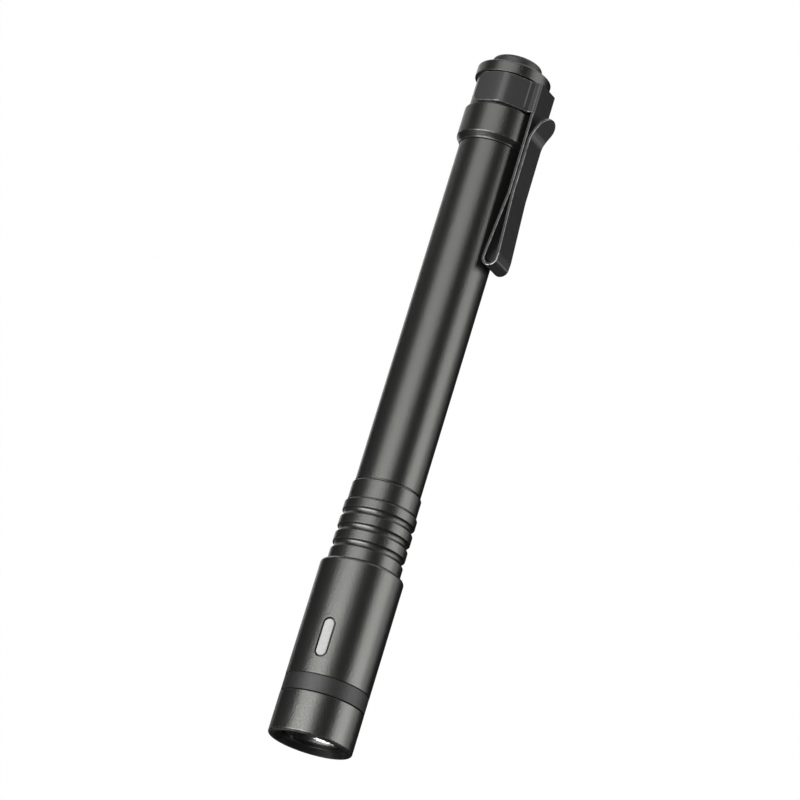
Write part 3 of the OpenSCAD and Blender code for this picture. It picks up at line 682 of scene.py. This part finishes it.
def bent(start, start_facing, end, end_facing):
    """Points of a soft bend between two places, along the faces that they lie on."""
    a, b = Vector(start), Vector(end)
    go = Vector((-math.cos(start_facing), math.sin(start_facing)))
    come = Vector((-math.cos(end_facing), math.sin(end_facing)))
    knee = a + go * ((b - a).cross(come) / go.cross(come))
    return [tuple(a * (1 - t) ** 2 + knee * 2 * t * (1 - t) + b * t * t) for t in np.linspace(0.1, 1, 10)]


def clip_band():
    """The band and the plate, with rounded free ends and worn bend lines. Half of its middle line, as
    (side, height), goes from a free end over a shallow bow and a flat facet to the toe of the plate."""
    mid, riser, bend, toe_end = GROOVE_R + 0.35, 3.0, 0.12, (2.98, 7.42)
    facing, toe, ease = math.radians(44), math.radians(30), math.radians(47)
    bow_at, bow_from, bow_to, bow_r = math.radians(95), math.radians(7.6), math.radians(-8.8), 20.0
    corner, crease_half, plate_edge = 1.3, 0.14, 0.02
    centre = [-(bow_r - mid) * f(bow_at) for f in (math.sin, math.cos)]
    half = [(centre[0] + bow_r * math.sin(bow_at + a), centre[1] + bow_r * math.cos(bow_at + a))
            for a in np.linspace(bow_from, bow_to, 24)]
    facet = [(mid / math.cos(a - facing) * math.sin(a), mid / math.cos(a - facing) * math.cos(a))
             for a in (ease, toe)]
    half += bent(half[-1], bow_at + bow_to, facet[0], facing)
    half += [facet[1], toe_end, (riser, CLIP_MID - bend)]
    half += [(riser - bend + bend * math.cos(a), CLIP_MID - bend + bend * math.sin(a))
             for a in np.linspace(0.3, math.pi / 2, 5)]
    line = even_line(half + [(-u, v) for u, v in half[::-1]], step=0.09, passes=1)
    run = run_of(line)
    edges, crease, square = [], [], set()
    for i, s in enumerate(run):
        near = max(corner - min(s, run[-1] - s), 0.0)
        cut = corner - math.sqrt(max(corner ** 2 - near ** 2, 0.0))
        edges.append((Z_PLATE + cut, Z_PLATE + PLATE_LEN - cut))
        u, v = abs(line[i][0]), line[i][1]
        nearest = min(math.hypot(u - fold[0], v - fold[1]) for fold in (facet[1], toe_end))
        crease.append(max(0.0, 1 - nearest / crease_half))
        if v > CLIP_MID - plate_edge:
            square.add(i)
    shell = Shell()
    strip(shell, line, edges, lambda u, v, w: place(w, v, u), square, crease)
    return shell.build("clip_wrap", clip_black)


def clip_path():
    """Middle line of the strip as (station, height), down the inner run, round the fold and up to the flared
    tip, with the last stretch spaced for the round tip."""
    fold = [(FOLD_D + FOLD_R * math.cos(a), FOLD_V + FOLD_R * math.sin(a))
            for a in np.linspace(-math.pi / 2, FOLD_END, 25)]
    after_fold, after_knee = (105.7, 10.26), (Z_KNEE, RUN_V + KNEE_RISE)
    flare = [(131.2, RUN_V), (132.2, 9.58), (133.3, 10.02), (134.4, 10.62), (135.6, 11.3), (Z_TIP, 12.0)]
    line = even_line(
        [(Z_PLATE, CLIP_MID), (Z_KNEE, CLIP_MID), *fold, after_fold, after_knee, *flare], step=0.1, passes=8)
    run = run_of(line)
    tip_from = run[-1] - TIP_R
    at = np.r_[run[run < tip_from], tip_from + TIP_R * np.sin(np.linspace(0, math.pi / 2, 16))]
    return np.stack([np.interp(at, run, line[:, k]) for k in (0, 1)], 1)


def clip_edges(path, turn_at):
    """Low and high side of the strip along its middle line: tapered to the fold and to a round tip."""
    least = 0.003
    run = run_of(path)
    fold_at, tip_from = run[turn_at], run[-1] - TIP_R
    edges = []
    for s in run:
        if s > tip_from:
            w = math.sqrt(max(TIP_R ** 2 - (s - tip_from) ** 2, least))
        elif s > fold_at:
            w = FOLD_W + (TIP_R - FOLD_W) * (s - fold_at) / (tip_from - fold_at)
        else:
            w = BASE_W + (FOLD_W - BASE_W) * s / fold_at
        edges.append((-w, w))
    return edges


def clip_run(name, line, edges, node):
    """One stretch of the strip, its edges rubbed most at the fold."""
    rub_reach, rub_rise = 1.5, 1.5
    shell = Shell()
    rub = [1 + max(0.0, rub_rise * (FOLD_D + rub_reach - d)) for d in line[:, 0]]
    strip(shell, line, edges, place, rub=rub, open_ends=(True, name == "clip_inner"))
    obj = shell.build(name, clip_black)
    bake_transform(obj)
    finish_piece(obj, None, "clip_steel", node)


path = clip_path()
turn_at = int(np.argmin(path[:, 0]))
break_at = int(np.argmin(np.abs(path[:turn_at, 0] - Z_BREAK)))
edges = clip_edges(path, turn_at)
finish_piece(clip_band(), "tail_cap", "clip_steel", "clip_band")
clip_run("clip_inner", path[:break_at + 1], edges[:break_at + 1],
         "clip_arm")
clip_run("clip_outer", path[break_at:], edges[break_at:],
         "clip_tongue")


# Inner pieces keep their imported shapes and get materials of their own

INNER = [
    (seal_rubber, "lens_gasket", "neck_oring", "tail_oring", "button_oring"),
    (phosphor, "led_emitter", "status_led"),
    (white_board, "led_board"),
    (bare_metal, "heat_sink"),
    (black_plastic, "key_stem", "key_switch", "board_carrier", "driver_chip", "switch_body"),
    (ivory_plastic, "switch_plunger"),
    (green_board, "key_board", "driver_board"),
    (brass, "front_contact", "front_spring", "tail_spring", "tail_contact", "switch_retainer"),
    (cell_sleeve, "cell_front", "cell_rear")]
for material, *names in INNER:
    for name in names:
        for material_slot in nodes[name].material_slots:
            material_slot.link = "OBJECT"
            material_slot.material = material


# The button's spring: a copy of the imported coil, carried with the tail cap

coil = bpy.data.objects.new("button_coil", nodes["button_spring"].data.copy())
bpy.context.scene.collection.objects.link(coil)
coil.matrix_world = nodes["button_spring"].matrix_world
coil.data.materials.clear()
coil.data.materials.append(steel_wire)
finish_piece(coil, "tail_cap", "spring_steel", "button_spring")
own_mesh(coil)


# Camera, fitted to the photograph: the side that faces it, the head's tilt towards it and the slant in view

ROLL, TILT, LEAN = math.radians(57), math.radians(18.1), math.radians(17.14)
DISTANCE, IMAGE_PX, FOCAL_PX, OFF_PX = 0.775, 800, 3889.0, 15.35
aim = Vector((-0.0734, 0, 0))
towards = Vector((0, math.cos(ROLL), math.sin(ROLL)))
beside = Vector((0, math.sin(ROLL), -math.cos(ROLL)))
ahead = Vector((1, 0, 0))
back = (towards * math.cos(TILT) + ahead * math.sin(TILT)).normalized()
along = ahead * math.cos(TILT) - towards * math.sin(TILT)
right = beside * math.cos(LEAN) - along * math.sin(LEAN)


def frame_matrix(x, y, z, where):
    """The matrix of an object with these axes at a place."""
    rows = [(x[i], y[i], z[i], where[i]) for i in range(3)]
    return Matrix((*rows, (0, 0, 0, 1)))


camera_data = bpy.data.cameras.new("camera")
camera_data.sensor_width = 36.0
camera_data.lens = camera_data.sensor_width * FOCAL_PX / IMAGE_PX
camera_data.clip_start, camera_data.clip_end = 0.01, 50.0
camera = bpy.data.objects.new("camera", camera_data)
bpy.context.scene.collection.objects.link(camera)
camera.matrix_world = frame_matrix(
    right, back.cross(right), back, aim + back * DISTANCE - right * (OFF_PX / FOCAL_PX * DISTANCE))
bpy.context.scene.camera = camera


# Studio: a white floor that sweeps up into a low white wall, soft lamps, dark cards and a dim room

FLOOR_GREY, WHITE_SHARE, CARD_GREY, ROOM_GREY = 0.8, 0.995, 0.01, 0.035


def make_floor_white():
    """White for the camera, reflections and glass, and a plain lit floor for all else."""
    mat = bpy.data.materials.new("floor_white")
    mat.use_nodes = True
    tree = mat.node_tree
    tree.nodes.remove(tree.nodes["Principled BSDF"])
    lit = tree.nodes.new("ShaderNodeBsdfDiffuse")
    lit.inputs["Color"].default_value = (*grey(FLOOR_GREY), 1)
    glow = tree.nodes.new("ShaderNodeEmission")
    glow.inputs["Strength"].default_value = 1.0
    rays = tree.nodes.new("ShaderNodeLightPath")
    share = rays.outputs["Is Camera Ray"]
    for ray in ("Is Glossy Ray", "Is Transmission Ray"):
        either = tree.nodes.new("ShaderNodeMath")
        either.operation = "MAXIMUM"
        tree.links.new(share, either.inputs[0])
        tree.links.new(rays.outputs[ray], either.inputs[1])
        share = either.outputs["Value"]
    part = tree.nodes.new("ShaderNodeMath")
    part.operation = "MULTIPLY"
    part.inputs[1].default_value = WHITE_SHARE
    tree.links.new(share, part.inputs[0])
    mix = tree.nodes.new("ShaderNodeMixShader")
    tree.links.new(part.outputs["Value"], mix.inputs["Fac"])
    tree.links.new(lit.outputs["BSDF"], mix.inputs[1])
    tree.links.new(glow.outputs["Emission"], mix.inputs[2])
    tree.links.new(mix.outputs["Shader"], tree.nodes["Material Output"].inputs["Surface"])
    return mat


def stage_mesh(name, points, faces, material):
    """A piece of the studio, which isn't part of the object."""
    mesh = bpy.data.meshes.new(name)
    mesh.from_pydata(points, [], faces)
    mesh.materials.append(material)
    obj = bpy.data.objects.new(name, mesh)
    bpy.context.scene.collection.objects.link(obj)
    return obj


def sweep():
    """The floor and the wall round it, as one turned sheet."""
    floor_z, wall_z, flat_r, cove, n = -0.6, 0.42, 2.4, 0.6, 72
    line = [(r, floor_z) for r in (0.0, 0.5, 1.2, flat_r)]
    line += [(flat_r + cove * math.sin(a), floor_z + cove * (1 - math.cos(a)))
             for a in np.linspace(0.2, math.pi / 2, 8)]
    line.append((flat_r + cove, wall_z))
    turns = [2 * math.pi * k / n for k in range(n)]
    points = [(r * math.cos(a), r * math.sin(a), z) for r, z in line for a in turns]
    faces = []
    for i in range(len(line) - 1):
        for k in range(n):
            j = (k + 1) % n
            faces.append((i * n + k, i * n + j, (i + 1) * n + j, (i + 1) * n + k))
    stage_mesh("floor", points, faces, make_floor_white())


def facing_frame(where, turn=0.0):
    """A matrix at a place, facing away from the tube, its first axis along it and turned by an angle."""
    z = (where - aim).normalized()
    x = (ahead - z * ahead.dot(z)).normalized()
    y = z.cross(x)
    c, s = math.cos(turn), math.sin(turn)
    return frame_matrix(x * c + y * s, y * c - x * s, z, where)


def around(bearing, distance, shift):
    """A place at a bearing in degrees round the axis, from +Y towards +Z, shifted along it from the aim."""
    a = math.radians(bearing)
    return aim + Vector((shift, distance * math.cos(a), distance * math.sin(a)))


def soft_lamp(name, where, long, wide, radiance, turn=0.0):
    """A rectangular lamp of a plain brightness, aimed at the tube and unseen by the camera."""
    data = bpy.data.lights.new(name, "AREA")
    data.shape = "RECTANGLE"
    data.size, data.size_y = long, wide
    data.energy = radiance * math.pi * wide * long
    lamp = bpy.data.objects.new(name, data)
    bpy.context.scene.collection.objects.link(lamp)
    lamp.visible_camera = False
    lamp.matrix_world = facing_frame(where, turn)
    return lamp


def dark_card(name, where, long, wide):
    """A black card that only reflections see, as a photographer sets beside a dark object on white."""
    mat, _, _ = new_material(name, grey(CARD_GREY), 0.9)
    x, y = long / 2, wide / 2
    card = stage_mesh(name, [(-x, -y, 0), (x, -y, 0), (x, y, 0), (-x, y, 0)], [(0, 1, 2, 3)], mat)
    card.matrix_world = facing_frame(where)
    card.visible_camera = card.visible_shadow = card.visible_diffuse = False


sweep()
soft_lamp("lamp_top_tail", around(85, 0.7, -0.38), long=0.52, wide=0.8, radiance=1.35, turn=math.radians(-20))
soft_lamp("lamp_top_mid", around(94, 0.7, -0.16), long=0.1, wide=0.68, radiance=0.9)
soft_lamp("lamp_top_head", around(99.5, 0.7, 0.18), long=0.58, wide=0.71, radiance=5.1)
soft_lamp("lamp_side_tail", around(-14, 0.7, -0.265), long=0.27, wide=0.52, radiance=0.69)
soft_lamp("lamp_side_mid", around(-14, 0.7, -0.195), long=0.13, wide=0.52, radiance=0.45)
soft_lamp("lamp_side_head", around(-13, 0.7, -0.03), long=0.2, wide=0.5, radiance=2.6)

# Two small lamps that light only the lens: a white spot on its dome and a faint crescent under it
lens_only = bpy.data.collections.new("lens_only")
lens_only.objects.link(lens)
spot = soft_lamp("lamp_lens_spot", around(-120, 0.4, 0.218), long=0.075, wide=0.03, radiance=16.0)
arc = soft_lamp("lamp_lens_arc", around(-118.5, 0.4, 0.156), long=0.05, wide=0.06, radiance=2.2)
for lamp in (spot, arc):
    lamp.data.shape = "ELLIPSE"
    lamp.light_linking.receiver_collection = lens_only

dark_card("card_under", around(-94.5, 0.42, 0.0), long=1.0, wide=0.577)
dark_card("card_low_tail", around(-52.5, 0.45, -0.36), long=0.48, wide=0.135)
dark_card("card_low_head", around(-52.5, 0.45, 0.225), long=0.55, wide=0.135)
dark_card("card_left", around(182, 0.6, 0.135), long=1.03, wide=0.6)
dark_card("card_left_tail", around(145, 0.6, -0.33), long=0.32, wide=0.2)
dark_card("card_front", around(-15, 0.3, 0.74), long=1.2, wide=1.2)
dark_card("card_behind", around(-123, 0.5, 0.13), long=0.48, wide=0.5)

world = bpy.data.worlds.new("room")
world.use_nodes = True
world.node_tree.nodes["Background"].inputs["Color"].default_value = (*grey(ROOM_GREY), 1)
bpy.context.scene.world = world
bpy.context.scene.view_settings.view_transform = "Standard"
